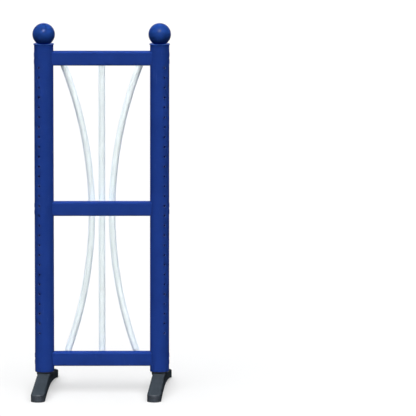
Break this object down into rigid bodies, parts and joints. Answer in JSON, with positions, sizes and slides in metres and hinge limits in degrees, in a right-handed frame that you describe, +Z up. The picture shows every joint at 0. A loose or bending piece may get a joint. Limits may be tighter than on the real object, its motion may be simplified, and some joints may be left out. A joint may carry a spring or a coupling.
{
  "type": "show jump wing",
  "caption": "Free-standing show jump wing: two drilled round posts with ball finials, coped rails, straight and bowed white infill tubes, and arched bar feet that swivel.",
  "frame": {"origin": "on the ground, midway between the two posts", "axes": "+Z up along the posts, +X from the left post to the right post, front side facing -Y"},
  "size_m": [0.7074, 0.7172, 1.8643],
  "materials": {
    "blue_coat": "deep blue powder coat on extruded aluminium, satin",
    "white_coat": "white powder coat on bent aluminium tube, satin",
    "blue_plastic": "deep blue moulded plastic, soft gloss",
    "foot_plastic": "dark grey moulded plastic, fine grain",
    "nylon": "black nylon",
    "white_plastic": "white moulded plastic",
    "steel": "zinc plated steel",
    "brass": "turned brass"
  },
  "bodies": {
    "wing_frame": {"left_post": "blue_coat", "right_post": "blue_coat", "bottom_rail": "blue_coat", "bottom_rail_blocks": "nylon", "middle_rail": "blue_coat", "middle_rail_blocks": "nylon", "top_rail": "blue_coat", "top_rail_blocks": "nylon", "left_rail_bushes": "brass", "left_rail_bolts": "steel", "left_saddle_washers": "steel", "left_access_plugs": "blue_plastic", "left_bowed_tube": "white_coat", "left_cap": "blue_plastic", "left_ball": "blue_plastic", "left_ball_bush": "brass", "left_ball_bolt": "steel", "left_ball_washer": "steel", "left_swivel_bush": "nylon", "left_bush_screws": "steel", "left_pivot_bolt": "steel", "left_pivot_washer": "steel", "left_pivot_nut": "steel", "right_rail_bushes": "brass", "right_rail_bolts": "steel", "right_saddle_washers": "steel", "right_access_plugs": "blue_plastic", "right_bowed_tube": "white_coat", "right_cap": "blue_plastic", "right_ball": "blue_plastic", "right_ball_bush": "brass", "right_ball_bolt": "steel", "right_ball_washer": "steel", "right_swivel_bush": "nylon", "right_bush_screws": "steel", "right_pivot_bolt": "steel", "right_pivot_washer": "steel", "right_pivot_nut": "steel", "centre_tube": "white_coat", "tube_plugs": "white_plastic", "tube_saddles": "white_plastic", "tube_washers": "steel", "tube_bushes": "brass", "tube_screws": "steel"},
    "left_foot_bar": {"left_foot": "foot_plastic"},
    "right_foot_bar": {"right_foot": "foot_plastic"}
  },
  "joints": [
    {"name": "left_foot_swivel", "type": "hinge", "parent": "wing_frame", "child": "left_foot_bar", "pos_m": [-0.2905, 0, 0.105], "axis": [0, 0, 1], "range_deg": [-75, 5]},
    {"name": "right_foot_swivel", "type": "hinge", "parent": "wing_frame", "child": "right_foot_bar", "pos_m": [0.2905, 0, 0.105], "axis": [0, 0, 1], "range_deg": [-75, 5]}
  ]
}
